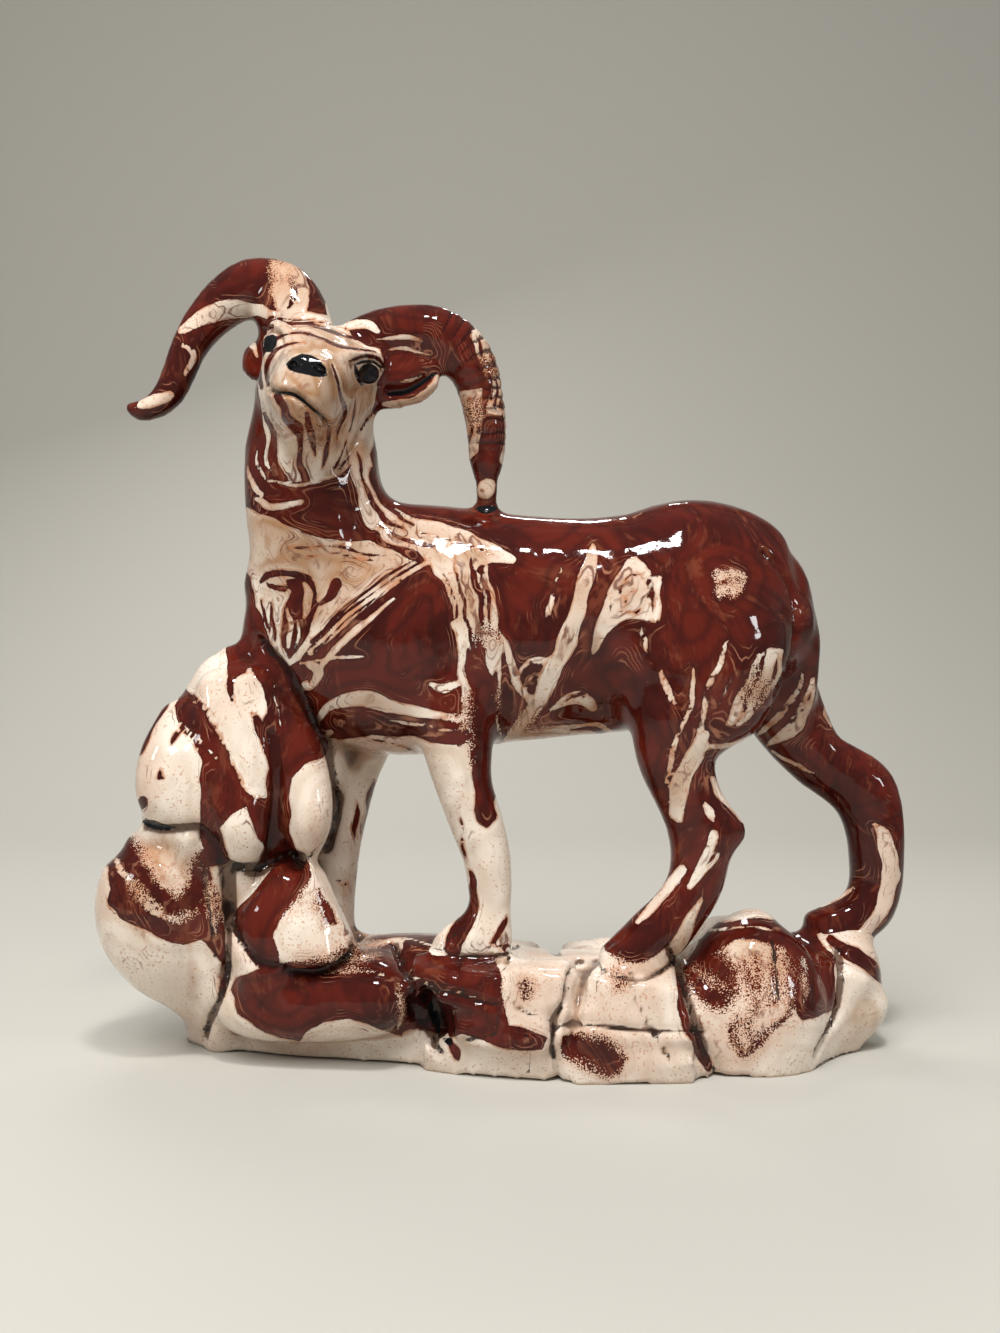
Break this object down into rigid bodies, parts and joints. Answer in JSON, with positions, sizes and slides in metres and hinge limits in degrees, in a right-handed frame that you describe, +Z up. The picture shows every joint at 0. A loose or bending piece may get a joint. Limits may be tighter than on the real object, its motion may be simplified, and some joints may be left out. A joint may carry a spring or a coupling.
{
  "type": "ceramic animal figurine",
  "caption": "Glazed ceramic bighorn ram with long curved horns, standing on a heap of rocks, cast in one piece with a flat foot.",
  "frame": {"origin": "on the flat foot, under the middle of the trunk's length", "axes": "+X from the head end to the tail end, -Y towards the side that the face is turned to, +Z up out of the flat foot"},
  "size_m": [0.2554, 0.0927, 0.2476],
  "materials": {
    "glaze": "high gloss marbled glaze in red brown and cream"
  },
  "bodies": {
    "root": {"ram_figurine": "glaze"}
  },
  "joints": []
}
